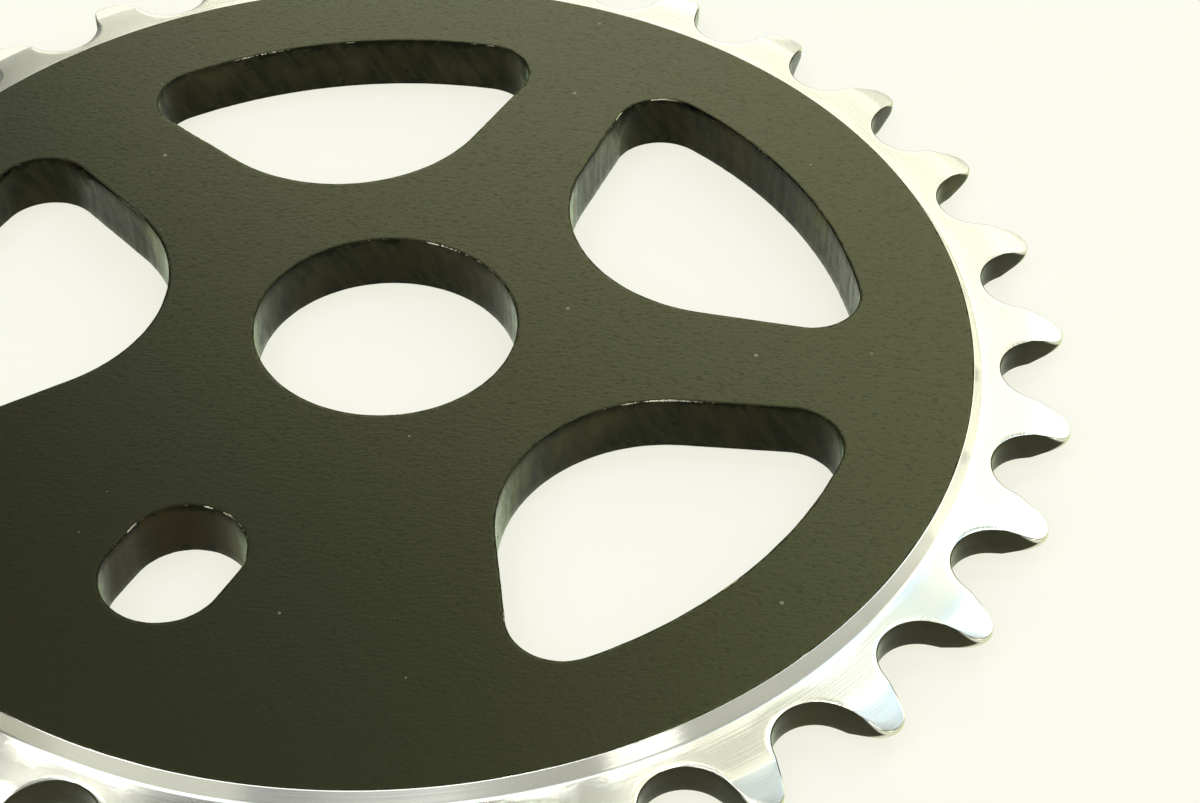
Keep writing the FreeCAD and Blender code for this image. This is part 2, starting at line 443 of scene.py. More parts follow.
def chips(tree, place, edge):
    """Where an edge has lost its coat, the metal's colour there, and where the cut has burnt the coat.
    Ragged flakes stand in groups, brightest in the middle of a group."""
    flakes = add(tree, "ShaderNodeTexNoise",
                 {"Vector": place, "Scale": per_mm(FLAKE), "Detail": 4.0, "Roughness": 0.7})
    groups = add(tree, "ShaderNodeTexNoise",
                 {"Vector": place, "Scale": per_mm(FLAKE_GROUP), "Detail": 1.0})
    wear = add(tree, "ShaderNodeMapRange", {
        "Value": groups.outputs["Fac"], "From Min": 0.42, "From Max": 0.68,
        "To Min": 0.26, "To Max": 0.50})
    weakness = add(tree, "ShaderNodeMath", {
        0: edge, 1: wear.outputs["Result"], 2: flakes.outputs["Fac"]}, operation="MULTIPLY_ADD")
    chipped = add(tree, "ShaderNodeMapRange",
                  {"Value": weakness.outputs[0], "From Min": 0.96, "From Max": 1.02})
    brightness = add(tree, "ShaderNodeMapRange",
                     {"Value": groups.outputs["Fac"], "From Min": 0.56, "From Max": 0.72})
    metal = add(tree, "ShaderNodeMix", {
        "Factor": brightness.outputs["Result"], 6: linear("#4c4a36"), 7: linear("#aeac96"),
    }, data_type="RGBA")
    heat = add(tree, "ShaderNodeMath",
               {0: edge, 1: BURN, 2: flakes.outputs["Fac"]}, operation="MULTIPLY_ADD")
    burnt = add(tree, "ShaderNodeMapRange",
                {"Value": heat.outputs[0], "From Min": 0.72, "From Max": 0.82, "To Max": 0.65})
    return chipped.outputs["Result"], metal.outputs[2], burnt.outputs["Result"]


# %% Matte black coat
ROLLING_ANGLE = 27           # degrees from +X to the grain of the rolled plate
GRAIN_STRETCH = 2            # length of a pebble along the grain, in widths
PEBBLE = 0.3
PEBBLE_HEIGHT = 0.018
CLOUD = 14.0                 # faint darker and paler places
DUST_PATCH = 16.0            # one speck of dust in each patch of this size
DUST_SPECK = 0.4             # the largest speck


def matte_black_coat():
    # A thin baked coat: black, dull, slightly pebbled and full of pinholes. The olive of its sheen is a
    # painted tint, standing for the warm colour of the room's light.
    finish, tree, shader = new_finish("matte_black_coat_on_aluminium")
    place = add(tree, "ShaderNodeTexCoord").outputs["Object"]
    edge = add(tree, "ShaderNodeAttribute", attribute_name="edge").outputs["Fac"]
    chipped, metal_colour, burnt = chips(tree, place, edge)

    # Pebbles, drawn out along the grain of the rolled plate. The deepest places between them are
    # pinholes, where the coat is dull.
    grain = add(tree, "ShaderNodeMapping", {
        "Vector": place, "Rotation": (0, 0, math.radians(ROLLING_ANGLE)), "Scale": (GRAIN_STRETCH, 1, 1),
    }, vector_type="TEXTURE")
    pebbles = add(tree, "ShaderNodeTexNoise", {
        "Vector": grain.outputs[0], "Scale": per_mm(PEBBLE), "Detail": 3.0, "Roughness": 0.65})
    pinholes = add(tree, "ShaderNodeMapRange", {
        "Value": pebbles.outputs["Fac"], "From Min": 0.33, "From Max": 0.46,
        "To Min": 0.34, "To Max": 0.0})
    dull = add(tree, "ShaderNodeMath", {0: pinholes.outputs["Result"], 1: burnt}, operation="MAXIMUM")
    # Light falls into a pinhole and doesn't come back, so it takes part as a metal of almost no colour.
    trap = add(tree, "ShaderNodeMath", {0: dull.outputs[0], 1: chipped}, operation="MAXIMUM")
    clouds = add(tree, "ShaderNodeTexNoise", {"Vector": place, "Scale": per_mm(CLOUD), "Detail": 3.0})
    # Each patch has its own random colour, and the red in it sets the size of the speck.
    patch = add(tree, "ShaderNodeTexVoronoi",
                {"Vector": place, "Scale": per_mm(DUST_PATCH)}, voronoi_dimensions="2D")
    size = add(tree, "ShaderNodeSeparateColor", {0: patch.outputs["Color"]}).outputs["Red"]
    reach = add(tree, "ShaderNodeMath", {0: size, 1: DUST_SPECK / 2 / DUST_PATCH}, operation="MULTIPLY")
    speck = add(tree, "ShaderNodeMath",
                {0: patch.outputs["Distance"], 1: reach.outputs[0]}, operation="LESS_THAN")
    tone = add(tree, "ShaderNodeMix", {
        "Factor": clouds.outputs["Fac"], 6: linear("#090908"), 7: linear("#0d0d0b"),
    }, data_type="RGBA")
    dusty = add(tree, "ShaderNodeMix", {
        "Factor": speck.outputs[0], 6: tone.outputs[2], 7: linear("#6a6a5c"),
    }, data_type="RGBA")
    colour = add(tree, "ShaderNodeMix", {
        "Factor": chipped, 6: dusty.outputs[2], 7: metal_colour,
    }, data_type="RGBA")
    dullness = add(tree, "ShaderNodeMapRange",
                   {"Value": dull.outputs[0], "To Min": 0.30, "To Max": 0.45})
    pebbled = add(tree, "ShaderNodeBump",
                  {"Height": pebbles.outputs["Fac"], "Distance": PEBBLE_HEIGHT * MM})
    tree.links.new(colour.outputs[2], shader.inputs["Base Color"])
    tree.links.new(trap.outputs[0], shader.inputs["Metallic"])
    tree.links.new(dullness.outputs["Result"], shader.inputs["Roughness"])
    tree.links.new(pebbled.outputs["Normal"], shader.inputs["Normal"])
    shader.inputs["Specular IOR Level"].default_value = 0.85
    # The olive tint of the reflection is painted, for the colour of the room's light.
    shader.inputs["Specular Tint"].default_value = linear("#f6feb0")
    return finish


coat = matte_black_coat()
print("finish:", coat.name)

# %% [markdown]
# ### The turned ring
# The toothed band was bared on a lathe, whose tool leaves fine rings round the bore. They stretch each
# highlight into a fan. Modelled rings would take millions of faces, so an anisotropic shader stretches
# the light, and a bump that follows the distance from the bore's axis draws the rings.

# %% Turned aluminium
LATHE_RING = 0.2             # the feed of such a cut is about 0.1 mm, which is too fine for the render
RING_DEPTH = 0.009
HANDLING = 6.0               # places that hands have made duller


def distance_from_axis(tree, place):
    """How far a point is from the bore's axis."""
    level = add(tree, "ShaderNodeVectorMath", {0: place, 1: (1, 1, 0)}, operation="MULTIPLY")
    return add(tree, "ShaderNodeVectorMath", {0: level.outputs[0]}, operation="LENGTH").outputs["Value"]


def turned_aluminium():
    # Bare metal straight from the lathe: bright, with fine rings that stretch each highlight outwards.
    finish, tree, shader = new_finish("turned_aluminium")
    place = add(tree, "ShaderNodeTexCoord").outputs["Object"]
    rings = add(tree, "ShaderNodeTexNoise", {
        "W": distance_from_axis(tree, place), "Scale": per_mm(LATHE_RING), "Detail": 2.0,
    }, noise_dimensions="1D")
    handling = add(tree, "ShaderNodeTexNoise",
                   {"Vector": place, "Scale": per_mm(HANDLING), "Detail": 4.0})
    dullness = add(tree, "ShaderNodeMapRange",
                   {"Value": handling.outputs["Fac"], "To Min": 0.19, "To Max": 0.23})
    bump = add(tree, "ShaderNodeBump", {"Height": rings.outputs["Fac"], "Distance": RING_DEPTH * MM})
    tangent = add(tree, "ShaderNodeTangent", direction_type="RADIAL", axis="Z")
    tree.links.new(dullness.outputs["Result"], shader.inputs["Roughness"])
    tree.links.new(bump.outputs["Normal"], shader.inputs["Normal"])
    tree.links.new(tangent.outputs["Tangent"], shader.inputs["Tangent"])
    # The warm tint of this colour is painted, for the warm light of the room.
    shader.inputs["Base Color"].default_value = linear("#ebece0")
    shader.inputs["Metallic"].default_value = 1.0
    shader.inputs["Anisotropic"].default_value = 1.0
    shader.inputs["Anisotropic Rotation"].default_value = 0.25
    return finish


bright_ring = turned_aluminium()
print("finish:", bright_ring.name)

# %% [markdown]
# ### The cut walls
# The holes and the teeth were cut through the plate, and their walls have blackened since. One dark
# colour would look like plastic, so the layers lie much as on the real wall: the lines that the cut has
# dragged, then grease and soot, and bare metal where something has rubbed, with painted shade added along
# the foot of each wall. One painted picture could hold them all, but noises fit every wall, and each
# layer can be changed alone.

# %% Drag lines
DRAG_LINE = 1.0              # width of the lines that the cut has left
DRAG_STRETCH = 0.2           # scale along the wall's height: below 1, the lines are upright
DRAG_LEAN = 0.4


def drag_lines(tree, place, height):
    """Upright lines that lean over to one side."""
    upright = add(tree, "ShaderNodeVectorMath",
                  {0: place, 1: (1, 1, DRAG_STRETCH)}, operation="MULTIPLY")
    lean = add(tree, "ShaderNodeVectorMath",
               {0: (DRAG_LEAN, DRAG_LEAN, 0), "Scale": height}, operation="SCALE")
    leaning = add(tree, "ShaderNodeVectorMath",
                  {0: upright.outputs[0], 1: lean.outputs[0]}, operation="ADD")
    drag = add(tree, "ShaderNodeTexNoise", {
        "Vector": leaning.outputs[0], "Scale": per_mm(DRAG_LINE), "Detail": 3.0, "Roughness": 0.6})
    return drag.outputs["Fac"]


# %% Grease, soot and painted shade
SMEAR = 10.0
SOOT_AND_SHADE_SPOT = 1.2
SOOT_AND_SHADE_BAND = 1.0              # below each edge
SOOT_AND_SHADE_AT_EDGE = 0.30          # how much more easily soot and painted shade gather at the edges


def grimy_and_shaded(tree, place, from_middle, tone):
    """A wall's tone under smears of brown grease, and darker in ragged patches near both edges: soot
    under the upper edge, painted shade along the lower one, where the wall meets the table.
    """
    smears = add(tree, "ShaderNodeTexNoise", {"Vector": place, "Scale": per_mm(SMEAR), "Detail": 2.0})
    smeared = add(tree, "ShaderNodeMapRange",
                  {"Value": smears.outputs["Fac"], "From Min": 0.50, "From Max": 0.66, "To Max": 0.3})
    stain = add(tree, "ShaderNodeAttribute", attribute_name="stain").outputs["Fac"]
    grease = add(tree, "ShaderNodeMath", {0: smeared.outputs["Result"], 1: stain}, operation="MAXIMUM")
    browned = add(tree, "ShaderNodeMix", {
        "Factor": grease.outputs[0], 6: tone, 7: linear("#2c210c"),
    }, data_type="RGBA")
    spots = add(tree, "ShaderNodeTexNoise", {"Vector": place, "Scale": per_mm(SOOT_AND_SHADE_SPOT), "Detail": 3.0})
    # Soot under the upper edge. Along the lower edge, where the wall meets the table, the same darkening
    # is painted shade.
    near_edge = add(tree, "ShaderNodeMapRange", {
        "Value": from_middle, "From Min": (PLATE / 2 - SOOT_AND_SHADE_BAND) * MM, "From Max": PLATE / 2 * MM})
    grime_and_shade = add(tree, "ShaderNodeMath", {
        0: near_edge.outputs["Result"], 1: SOOT_AND_SHADE_AT_EDGE, 2: spots.outputs["Fac"],
    }, operation="MULTIPLY_ADD")
    soot_and_shade = add(tree, "ShaderNodeMapRange",
               {"Value": grime_and_shade.outputs[0], "From Min": 0.66, "From Max": 0.74})
    sooty_and_shaded = add(tree, "ShaderNodeMix", {
        "Factor": soot_and_shade.outputs["Result"], 6: browned.outputs[2], 7: linear("#040403"),
    }, data_type="RGBA")
    return sooty_and_shaded.outputs[2]


# %% Chain polish
POLISH_RADIUS = TIP_RADIUS - 0.45   # where the polish starts, halfway up a tooth's wall
POLISH_LEAN = 1.5                   # how much sooner it starts at the wall's edges
POLISH_BLUR = 0.15


def chain_polish(tree, place, from_middle):
    """Where the chain has polished a tooth: at its tip, and along the edges that lead there."""
    reach = add(tree, "ShaderNodeMath", {
        0: from_middle, 1: POLISH_LEAN, 2: distance_from_axis(tree, place)}, operation="MULTIPLY_ADD")
    polished = add(tree, "ShaderNodeMapRange", {
        "Value": reach.outputs[0], "From Min": (POLISH_RADIUS - POLISH_BLUR) * MM,
        "From Max": (POLISH_RADIUS + POLISH_BLUR) * MM})
    return polished.outputs["Result"]


# %% Cut walls
CHIPS_BEGIN, CHIPS_FULL = 0.22, 0.05   # below an edge
DRAG_DEPTH = 0.02
BARE_PATCH = 7.0


def cut_wall_finish():
    # Walls left by the cutting head and blackened since: dark, with upright streaks, soot under the upper
    # edges and painted shade along the lower ones, smears of brown grease, and dull metal that shows
    # through in places. A sheen makes them pale and greenish where they are seen edge-on: a painted
    # reflection of the bright table, in a painted green tint. The chain has polished the tips of the
    # teeth.
    finish, tree, shader = new_finish("blackened_cut_aluminium")
    place = add(tree, "ShaderNodeTexCoord").outputs["Object"]

    # The top and bottom edges, from the height over the middle of the plate.
    height = add(tree, "ShaderNodeSeparateXYZ", {0: place}).outputs["Z"]
    over_middle = add(tree, "ShaderNodeMath", {0: height, 1: PLATE / 2 * MM}, operation="SUBTRACT")
    from_middle = add(tree, "ShaderNodeMath",
                      {0: over_middle.outputs[0]}, operation="ABSOLUTE").outputs[0]
    edge = add(tree, "ShaderNodeMapRange", {
        "Value": from_middle, "From Min": (PLATE / 2 - CHIPS_BEGIN) * MM,
        "From Max": (PLATE / 2 - CHIPS_FULL) * MM})
    chipped, metal_colour, _ = chips(tree, place, edge.outputs["Result"])

    # Streaks with grime and painted shade on them. The teeth's walls are painted lighter than the holes'
    # walls, as painted bounce light from the table beside them, and their smaller cutting marks tell them
    # apart.
    drag = drag_lines(tree, place, height)
    streaks = add(tree, "ShaderNodeMapRange", {"Value": drag, "From Min": 0.36, "From Max": 0.64})
    tone = add(tree, "ShaderNodeMix", {
        "Factor": streaks.outputs["Result"], 6: linear("#0f0e08"), 7: linear("#272517"),
    }, data_type="RGBA")
    marks = add(tree, "ShaderNodeAttribute", attribute_name="cut").outputs["Fac"]
    # Painted bounce light: the teeth's walls are lighter than the holes' walls.
    teeth_bounce_mask = add(tree, "ShaderNodeMapRange",
                 {"Value": marks, "From Min": 0.4, "From Max": 0.6, "To Min": 0.6, "To Max": 0.0})
    with_painted_teeth_bounce = add(tree, "ShaderNodeMix", {
        "Factor": teeth_bounce_mask.outputs["Result"], 6: grimy_and_shaded(tree, place, from_middle, tone.outputs[2]),
        7: linear("#3d3c2c"),
    }, data_type="RGBA")

    # Metal that shows through: dull patches, chips and the chain's polish.
    bare = add(tree, "ShaderNodeTexNoise", {"Vector": place, "Scale": per_mm(BARE_PATCH), "Detail": 4.0})
    worn = add(tree, "ShaderNodeMapRange",
               {"Value": bare.outputs["Fac"], "From Min": 0.52, "From Max": 0.75, "To Max": 0.5})
    dulled = add(tree, "ShaderNodeMix", {
        "Factor": worn.outputs["Result"], 6: with_painted_teeth_bounce.outputs[2], 7: linear("#4a4730"),
    }, data_type="RGBA")
    patchy = add(tree, "ShaderNodeMix", {
        "Factor": chipped, 6: dulled.outputs[2], 7: metal_colour,
    }, data_type="RGBA")
    polished = chain_polish(tree, place, from_middle)
    colour = add(tree, "ShaderNodeMix", {
        "Factor": polished, 6: patchy.outputs[2], 7: linear("#dcdccc"),
    }, data_type="RGBA")
    uncovered = add(tree, "ShaderNodeMath", {0: worn.outputs["Result"], 1: chipped}, operation="MAXIMUM")
    metal = add(tree, "ShaderNodeMath", {0: uncovered.outputs[0], 1: polished}, operation="MAXIMUM")
    dullness = add(tree, "ShaderNodeMapRange",
                   {"Value": streaks.outputs["Result"], "To Min": 0.34, "To Max": 0.10})
    ridged = add(tree, "ShaderNodeBump", {"Height": drag, "Distance": DRAG_DEPTH * MM})
    tree.links.new(colour.outputs[2], shader.inputs["Base Color"])
    tree.links.new(metal.outputs[0], shader.inputs["Metallic"])
    tree.links.new(dullness.outputs["Result"], shader.inputs["Roughness"])
    tree.links.new(ridged.outputs["Normal"], shader.inputs["Normal"])
    # The yellow-green tint of the reflection is painted, for the colour of the light.
    shader.inputs["Specular IOR Level"].default_value = 0.12
    shader.inputs["Specular Tint"].default_value = linear("#f4ffc0")
    # The sheen is a painted reflection of the bright table, pale where a wall is seen edge-on, and its
    # green tint is painted too.
    shader.inputs["Sheen Weight"].default_value = 1.0
    shader.inputs["Sheen Roughness"].default_value = 0.25
    shader.inputs["Sheen Tint"].default_value = linear("#c8e0b0")
    return finish


cut_wall = cut_wall_finish()
print("finish:", cut_wall.name)

# %% [markdown]
# ## The whole ring in Geometry Nodes
# Teeth, windows, bore and slot all stand round the bore, so one small group places copies of a strip
# round it: points, an instance on each, and a turn that grows with the index. An array modifier with an
# offset object would do one strip, but a tree can place all four, join them, close the two faces between
# their open rims, and hand out the finishes in one go.

# %% Group: copies round the bore
def copies_round_the_bore():
    tree = bpy.data.node_groups.new("copies_round_the_bore", "GeometryNodeTree")
    inputs = (("Strip", "Geometry"), ("Copies", "Int"), ("First angle", "Float"), ("Step", "Float"))
    for label, kind in inputs:
        tree.interface.new_socket(label, in_out="INPUT", socket_type="NodeSocket" + kind)
    tree.interface.new_socket("Placed", in_out="OUTPUT", socket_type="NodeSocketGeometry")
    given = add(tree, "NodeGroupInput").outputs
    points = add(tree, "GeometryNodePoints", {"Count": given["Copies"]})
    index = add(tree, "GeometryNodeInputIndex")
    angle = add(tree, "ShaderNodeMath", {
        0: index.outputs[0], 1: given["Step"], 2: given["First angle"]}, operation="MULTIPLY_ADD")
    turn = add(tree, "FunctionNodeAxisAngleToRotation", {"Axis": (0, 0, 1), "Angle": angle.outputs[0]})
    placed = add(tree, "GeometryNodeInstanceOnPoints", {
        "Points": points.outputs[0], "Instance": given["Strip"], "Rotation": turn.outputs[0]})
    add(tree, "NodeGroupOutput", {0: placed.outputs[0]})
    return tree


copies_group = copies_round_the_bore()
print("group:", copies_group.name)

# %% Strips round the bore, welded
WELD = 0.002                 # strips that come nearer than this become one
STRIPS = {
    "Tooth gap": (tooth_gap, TEETH, SLOT_ANGLE + HALF_PITCH, 2 * HALF_PITCH),
    "Window": (window_wall, SECTORS - 1, SLOT_ANGLE + WINDOW_TURN + 360 / SECTORS, 360 / SECTORS),
    "Slot": (slot_wall, 1, SLOT_ANGLE, 0),
    "Bore": (bore_wall, 1, 0, 0),
}


def welded_strips(tree, given):
    """Copies of each strip, joined and welded."""
    joined = add(tree, "GeometryNodeJoinGeometry")
    for label in STRIPS:
        source = add(tree, "GeometryNodeObjectInfo", {"Object": given[label]})
        copies = add(tree, "GeometryNodeGroup", node_tree=copies_group)
        tree.links.new(source.outputs["Geometry"], copies.inputs["Strip"])
        for key in ("Copies", "First angle", "Step"):
            tree.links.new(given[f"{label} {key.lower()}"], copies.inputs[key])
        tree.links.new(copies.outputs[0], joined.inputs[0])
    real = add(tree, "GeometryNodeRealizeInstances", {0: joined.outputs[0]})
    return add(tree, "GeometryNodeMergeByDistance",
               {"Geometry": real.outputs[0], "Distance": WELD * MM}).outputs[0]


# %% Cutting marks
MARK_STRETCH = 0.15          # scale along the wall's height: below 1, the marks are upright


def with_cutting_marks(tree, given, place, welded):
    """A noise stretched upright moves the walls in and out, level with the plate."""
    fineness = add(tree, "ShaderNodeMath", {0: 1.0, 1: given["Mark width"]}, operation="DIVIDE")
    upright = add(tree, "ShaderNodeVectorMath",
                  {0: place, 1: (1, 1, MARK_STRETCH)}, operation="MULTIPLY")
    noise = add(tree, "ShaderNodeTexNoise", {
        "Vector": upright.outputs[0], "Scale": fineness.outputs[0], "Detail": 2.0})
    wave = add(tree, "ShaderNodeMath", {0: noise.outputs["Fac"], 1: 0.5}, operation="SUBTRACT")
    cut = add(tree, "GeometryNodeInputNamedAttribute", {"Name": "cut"}, data_type="FLOAT")
    depth = add(tree, "ShaderNodeMath", {0: cut.outputs[0], 1: given["Mark depth"]}, operation="MULTIPLY")
    amount = add(tree, "ShaderNodeMath", {0: wave.outputs[0], 1: depth.outputs[0]}, operation="MULTIPLY")
    level = add(tree, "ShaderNodeVectorMath", {
        0: add(tree, "GeometryNodeInputNormal").outputs[0], 1: (1, 1, 0)}, operation="MULTIPLY")
    offset = add(tree, "ShaderNodeVectorMath",
                 {0: level.outputs[0], "Scale": amount.outputs[0]}, operation="SCALE")
    return add(tree, "GeometryNodeSetPosition",
               {"Geometry": welded, "Offset": offset.outputs[0]}).outputs[0]


# %% The two faces
MATCH = 0.1                  # whole numbers that differ by less than this are the same


def with_faces(tree, given, place, marked):
    """The open rims of the strips, filled flat on both sides and welded to the strips."""
    faces_met = add(tree, "GeometryNodeInputMeshEdgeNeighbors").outputs[0]
    is_rim = add(tree, "ShaderNodeMath", {0: faces_met, 1: 1.0, 2: MATCH}, operation="COMPARE")
    height = add(tree, "ShaderNodeSeparateXYZ", {0: place}).outputs["Z"]
    half = add(tree, "ShaderNodeMath", {0: given["Plate thickness"], 1: 0.5}, operation="MULTIPLY")
    whole = add(tree, "GeometryNodeJoinGeometry")
    tree.links.new(marked, whole.inputs[0])
    for side, level_of_face in (("GREATER_THAN", given["Plate thickness"]), ("LESS_THAN", None)):
        on_side = add(tree, "ShaderNodeMath", {0: height, 1: half.outputs[0]}, operation=side)
        chosen = add(tree, "ShaderNodeMath",
                     {0: is_rim.outputs[0], 1: on_side.outputs[0]}, operation="MULTIPLY")
        rims = add(tree, "GeometryNodeMeshToCurve", {"Mesh": marked, "Selection": chosen.outputs[0]})
        face = add(tree, "GeometryNodeFillCurve", {0: rims.outputs[0]}).outputs[0]
        if level_of_face is None:
            face = add(tree, "GeometryNodeFlipFaces", {0: face}).outputs[0]
        else:
            lift = add(tree, "ShaderNodeCombineXYZ", {"Z": level_of_face}).outputs[0]
            face = add(tree, "GeometryNodeTransform", {"Geometry": face, "Translation": lift}).outputs[0]
        flat_face = add(tree, "GeometryNodeSetShadeSmooth", {"Geometry": face, "Shade Smooth": False})
        tree.links.new(flat_face.outputs[0], whole.inputs[0])
    return add(tree, "GeometryNodeMergeByDistance",
               {"Geometry": whole.outputs[0], "Distance": WELD * MM}).outputs[0]


# %% Finishes by zone
def with_finishes(tree, given, closed):
    """The coat everywhere, and then the two bare finishes in their zones."""
    zone = add(tree, "GeometryNodeInputNamedAttribute", {"Name": "zone"}, data_type="INT")
    shown = add(tree, "GeometryNodeRealizeInstances", {0: closed}).outputs[0]
    shown = add(tree, "GeometryNodeSetMaterial",
                {"Geometry": shown, "Material": given["Coat"]}).outputs[0]
    for label, number in (("Turned", TURNED), ("Cut", CUT)):
        chosen = add(tree, "ShaderNodeMath",
                     {0: zone.outputs[0], 1: float(number), 2: MATCH}, operation="COMPARE")
        shown = add(tree, "GeometryNodeSetMaterial", {
            "Geometry": shown, "Selection": chosen.outputs[0], "Material": given[label]}).outputs[0]
    return shown


# %% Tree: strips to a closed ring
def ring_tree():
    tree = bpy.data.node_groups.new("chainring_from_strips", "GeometryNodeTree")
    inputs = [("Start", "Geometry")]
    for label in STRIPS:
        inputs += [(label, "Object"), (label + " copies", "Int"), (label + " first angle", "Float"),
                   (label + " step", "Float")]
    inputs += [("Plate thickness", "Float"), ("Mark depth", "Float"), ("Mark width", "Float"),
               ("Coat", "Material"), ("Turned", "Material"), ("Cut", "Material")]
    for label, kind in inputs:
        tree.interface.new_socket(label, in_out="INPUT", socket_type="NodeSocket" + kind)
    tree.interface.new_socket("Ring", in_out="OUTPUT", socket_type="NodeSocketGeometry")
    given = add(tree, "NodeGroupInput").outputs
    place = add(tree, "GeometryNodeInputPosition").outputs[0]
    welded = welded_strips(tree, given)
    marked = with_cutting_marks(tree, given, place, welded)
    closed = with_faces(tree, given, place, marked)
    add(tree, "NodeGroupOutput", {0: with_finishes(tree, given, closed)})
    return tree


strips_tree = ring_tree()
print(f"tree {strips_tree.name}: {len(strips_tree.nodes)} nodes")

# %% Run the tree and keep a plain mesh
def set_inputs(modifier, values):
    """Sets a Geometry Nodes modifier's inputs by their names, through each socket's identifier."""
    sockets = {item.name: item.identifier for item in modifier.node_group.interface.items_tree
               if item.in_out == "INPUT"}
    for name, value in values.items():
        modifier[sockets[name]] = value


def plain_mesh(piece, name):
    """The evaluated shape of a piece as a mesh with no modifiers."""
    bpy.context.view_layer.update()
    shape = piece.evaluated_get(bpy.context.evaluated_depsgraph_get())
    mesh = bpy.data.meshes.new_from_object(shape)
    mesh.name = name
    if mesh.materials[0] is None:     # the slot that the strips had before they had a finish
        mesh.materials.pop(index=0)
    return mesh


MARK_DEPTH, MARK_WIDTH = 0.10, 1.2   # of the cutting marks on the walls
values = {"Plate thickness": PLATE * MM, "Mark depth": MARK_DEPTH * MM, "Mark width": MARK_WIDTH * MM,
          "Coat": coat, "Turned": bright_ring, "Cut": cut_wall}
for label, (piece, copies, first, step) in STRIPS.items():
    values.update({label: piece, label + " copies": copies,
                   label + " first angle": math.radians(first), label + " step": math.radians(step)})
ring = bpy.data.objects.new("chainring_body", bpy.data.meshes.new("chainring_start"))
bpy.context.scene.collection.objects.link(ring)
nodes = ring.modifiers.new("strips", "NODES")
nodes.node_group = strips_tree
set_inputs(nodes, values)
ring_mesh = plain_mesh(ring, "chainring_body")
ring.modifiers.remove(nodes)
ring.data = ring_mesh
for piece, *_ in STRIPS.values():
    bpy.data.objects.remove(piece)
print(f"{ring.name}: {len(ring_mesh.vertices)} points, {len(ring_mesh.polygons)} faces")

# %% Look the mesh over
def report_mesh(piece):
    shape = bmesh.new()
    shape.from_mesh(piece.data)
    open_edges = sum(1 for edge in shape.edges if len(edge.link_faces) != 2)
    triangles = sum(len(face.verts) - 2 for face in shape.faces)
    print(f"{piece.name}: {triangles} triangles, {open_edges} open edges, "
          f"volume {shape.calc_volume(signed=True) / MM**3:.0f} mm3")
    shape.free()


report_mesh(ring)
print("finishes:", [finish.name for finish in ring.data.materials])
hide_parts("chainring")
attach(ring, "root")

# %% [markdown]
# ## Camera
# The camera stands where the photo was taken: to the front and right of the slot, looking down at
# about 43 degrees, close enough that the far teeth look smaller than the near ones. Its axis meets the
# upper face right of the bore.

# %% Camera
CAMERA_AIM = Vector((22.30, 0.28, PLATE))
CAMERA_DISTANCE = 234.75
CAMERA_AZIMUTH = 27.385      # degrees, from looking along +Y
CAMERA_ELEVATION = 43.497
CAMERA_ROLL = 0.847
LENS = 78.48
SENSOR_WIDTH = 36
NEAREST, FARTHEST = 0.01, 20  # metres that the camera sees


def seen_from(azimuth, elevation):
    """The unit vector towards a viewer or a lamp. At azimuth 0 it stands on -Y."""
    turn, rise = math.radians(azimuth), math.radians(elevation)
    return Vector((math.sin(turn) * math.cos(rise), -math.cos(turn) * math.cos(rise), math.sin(rise)))


def facing_back(spot, toward):
    """The place of a camera or a lamp that stands on a spot and looks back along a unit vector."""
    return Matrix.Translation(spot) @ toward.to_track_quat("Z", "Y").to_matrix().to_4x4()


backward = seen_from(CAMERA_AZIMUTH, CAMERA_ELEVATION)
roll = Matrix.Rotation(math.radians(CAMERA_ROLL), 4, "Z")
camera = bpy.data.objects.new("camera", bpy.data.cameras.new("camera"))
bpy.context.scene.collection.objects.link(camera)
camera.data.sensor_width = SENSOR_WIDTH
camera.data.lens = LENS
camera.data.clip_start, camera.data.clip_end = NEAREST, FARTHEST
camera.matrix_world = facing_back((CAMERA_AIM + backward * CAMERA_DISTANCE) * MM, backward) @ roll
bpy.context.scene.camera = camera
print("camera at, mm:", [round(value / MM, 1) for value in camera.matrix_world.translation])

# %% [markdown]
# ## Floor and light
# The ring lies on a white table in a bright room. A wide window panel stands behind it, and its
# reflection gives the black coat a sheen that fades towards the camera. A large panel overhead lights
# the table evenly. Bare metal shows whatever stands round it, so smaller lamps stand in for the rest of
# the room: two bluish ones for the sky, which show on the right-hand teeth, a panel and four small lamps
# at the ceiling for the bright fans on the turned ring, a low panel for the far side, and two cards in
# front that fill the bevel. A picture of a room as world light would be quicker to set up, but then no
# lamp in it could be moved.

# %% Floor
FLOOR_REACH = 3.0            # metres from the bore to each side of the table
FLOOR_GAP = 0.05             # mm, so that the table and the ring's lower face don't share a plane
GLOW_SHARE = 0.72


def white_table():
    # A white laminate: matte and even. To the eye it glows a little, which keeps its shadows soft, but it
    # lights nothing.
    finish, tree, shader = new_finish("white_laminate_table")
    shader.inputs["Base Color"].default_value = linear("#e8e9ec")
    shader.inputs["Roughness"].default_value = 0.9
    rays = add(tree, "ShaderNodeLightPath").outputs
    direct = add(tree, "ShaderNodeMath",
                 {0: rays["Is Camera Ray"], 1: rays["Is Glossy Ray"]}, operation="MAXIMUM")
    seen = add(tree, "ShaderNodeMath",
               {0: direct.outputs[0], 1: rays["Is Transmission Ray"]}, operation="MAXIMUM")
    share = add(tree, "ShaderNodeMath", {0: seen.outputs[0], 1: GLOW_SHARE}, operation="MULTIPLY")
    glow = add(tree, "ShaderNodeEmission", {"Color": linear("#fffeec")})
    mixed = add(tree, "ShaderNodeMixShader",
                {0: share.outputs[0], 1: shader.outputs[0], 2: glow.outputs[0]})
    tree.links.new(mixed.outputs[0], tree.nodes["Material Output"].inputs["Surface"])
    return finish


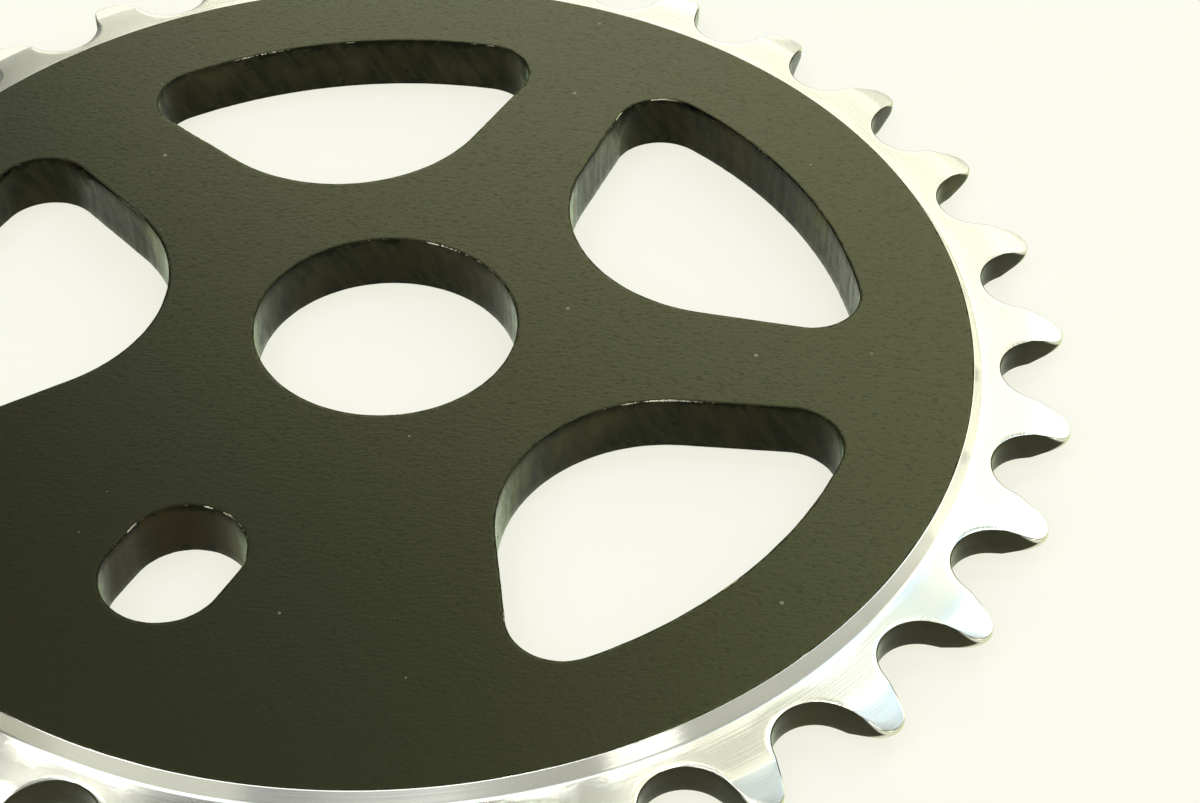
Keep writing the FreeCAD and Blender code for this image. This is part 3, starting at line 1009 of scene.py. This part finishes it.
floor_mesh = bpy.data.meshes.new("table_top")
corners = [(x * FLOOR_REACH, y * FLOOR_REACH, -FLOOR_GAP * MM)
           for x, y in ((-1, -1), (1, -1), (1, 1), (-1, 1))]
floor_mesh.from_pydata(corners, [], [(0, 1, 2, 3)])
floor = bpy.data.objects.new("table_top", floor_mesh)
bpy.context.scene.collection.objects.link(floor)
floor.data.materials.append(white_table())
print(f"floor {floor.name}: {2 * FLOOR_REACH:g} m square")

# %% Lamps
def lamp(name, azimuth, elevation, distance, width, depth, power, colour):
    """A rectangular lamp that faces the ring. Azimuth is from the camera, in degrees; sizes in metres."""
    data = bpy.data.lights.new(name, "AREA")
    data.shape = "RECTANGLE"
    data.size, data.size_y = width, depth
    data.energy = power
    data.color = linear(colour)[:3]
    place = bpy.data.objects.new(name, data)
    toward = seen_from(CAMERA_AZIMUTH + azimuth, elevation)
    place.matrix_world = facing_back(toward * distance, toward)
    bpy.context.scene.collection.objects.link(place)
    print(f"lamp {name}: {power} W")


# Name, azimuth, elevation, distance, width, depth, watts and colour.
lamp("window_panel", 146, 28.4, 1.0, 1.85, 0.77, 6.75, "#fffded")
lamp("overhead_panel", -20, 64, 0.9, 1.1, 1.1, 7.2, "#f8f8ff")
lamp("right_panel", 113, 55, 1.0, 0.5, 0.5, 0.6, "#cce6ff")
lamp("sky_panel", 138, 53, 1.0, 0.25, 0.25, 0.38, "#b4dcff")
lamp("ceiling_panel", 148, 60, 1.0, 0.25, 0.25, 0.45, "#fffbe6")
lamp("low_back_panel", -165, 9, 1.0, 1.0, 0.3, 1.8, "#fffef4")
lamp("front_card", 42, 7, 1.0, 0.2, 0.2, 0.65, "#fffef8")
lamp("front_left_card", -45, 14, 1.0, 0.9, 0.35, 0.64, "#fffee8")
lamp("ceiling_lamp_middle", 165, 73, 1.0, 0.04, 0.04, 0.24, "#fffef8")
lamp("ceiling_lamp_right", 148.5, 70, 1.0, 0.06, 0.06, 0.40, "#fffef8")
lamp("ceiling_lamp_left", 225, 65, 1.0, 0.03, 0.03, 0.26, "#fffef8")
lamp("ceiling_lamp_far_left", 230, 62, 1.0, 0.03, 0.03, 0.26, "#fffef8")

# %% World
RIGHT_WALL = 75              # degrees from the camera
ROOM_DIM, ROOM_BRIGHT = 0.04, 0.55

world = bpy.data.worlds.new("white_room")
world.use_nodes = True
bpy.context.scene.world = world
room = world.node_tree
background = room.nodes["Background"]
# The right-hand wall is the brightest. Behind the table the camera sees white, but the metal sees the
# room's own light, or every reflection would be as white as the background.
right_wall = seen_from(CAMERA_AZIMUTH + RIGHT_WALL, 0)
look = add(room, "ShaderNodeTexCoord").outputs["Generated"]
facing = add(room, "ShaderNodeVectorMath", {0: look, 1: right_wall}, operation="DOT_PRODUCT")
light = add(room, "ShaderNodeMapRange", {
    "Value": facing.outputs["Value"], "From Min": 0.0, "From Max": 0.9,
    "To Min": ROOM_DIM, "To Max": ROOM_BRIGHT})
rays = add(room, "ShaderNodeLightPath").outputs
shown = add(room, "ShaderNodeMath",
            {0: rays["Is Camera Ray"], 1: rays["Is Transmission Ray"]}, operation="MAXIMUM")
strength = add(room, "ShaderNodeMapRange", {
    "Value": shown.outputs[0], "To Min": light.outputs["Result"], "To Max": 1.0})
room.links.new(strength.outputs["Result"], background.inputs["Strength"])
background.inputs["Color"].default_value = linear("#fffef6")
bpy.context.scene.view_settings.view_transform = "Standard"
print("world:", world.name)
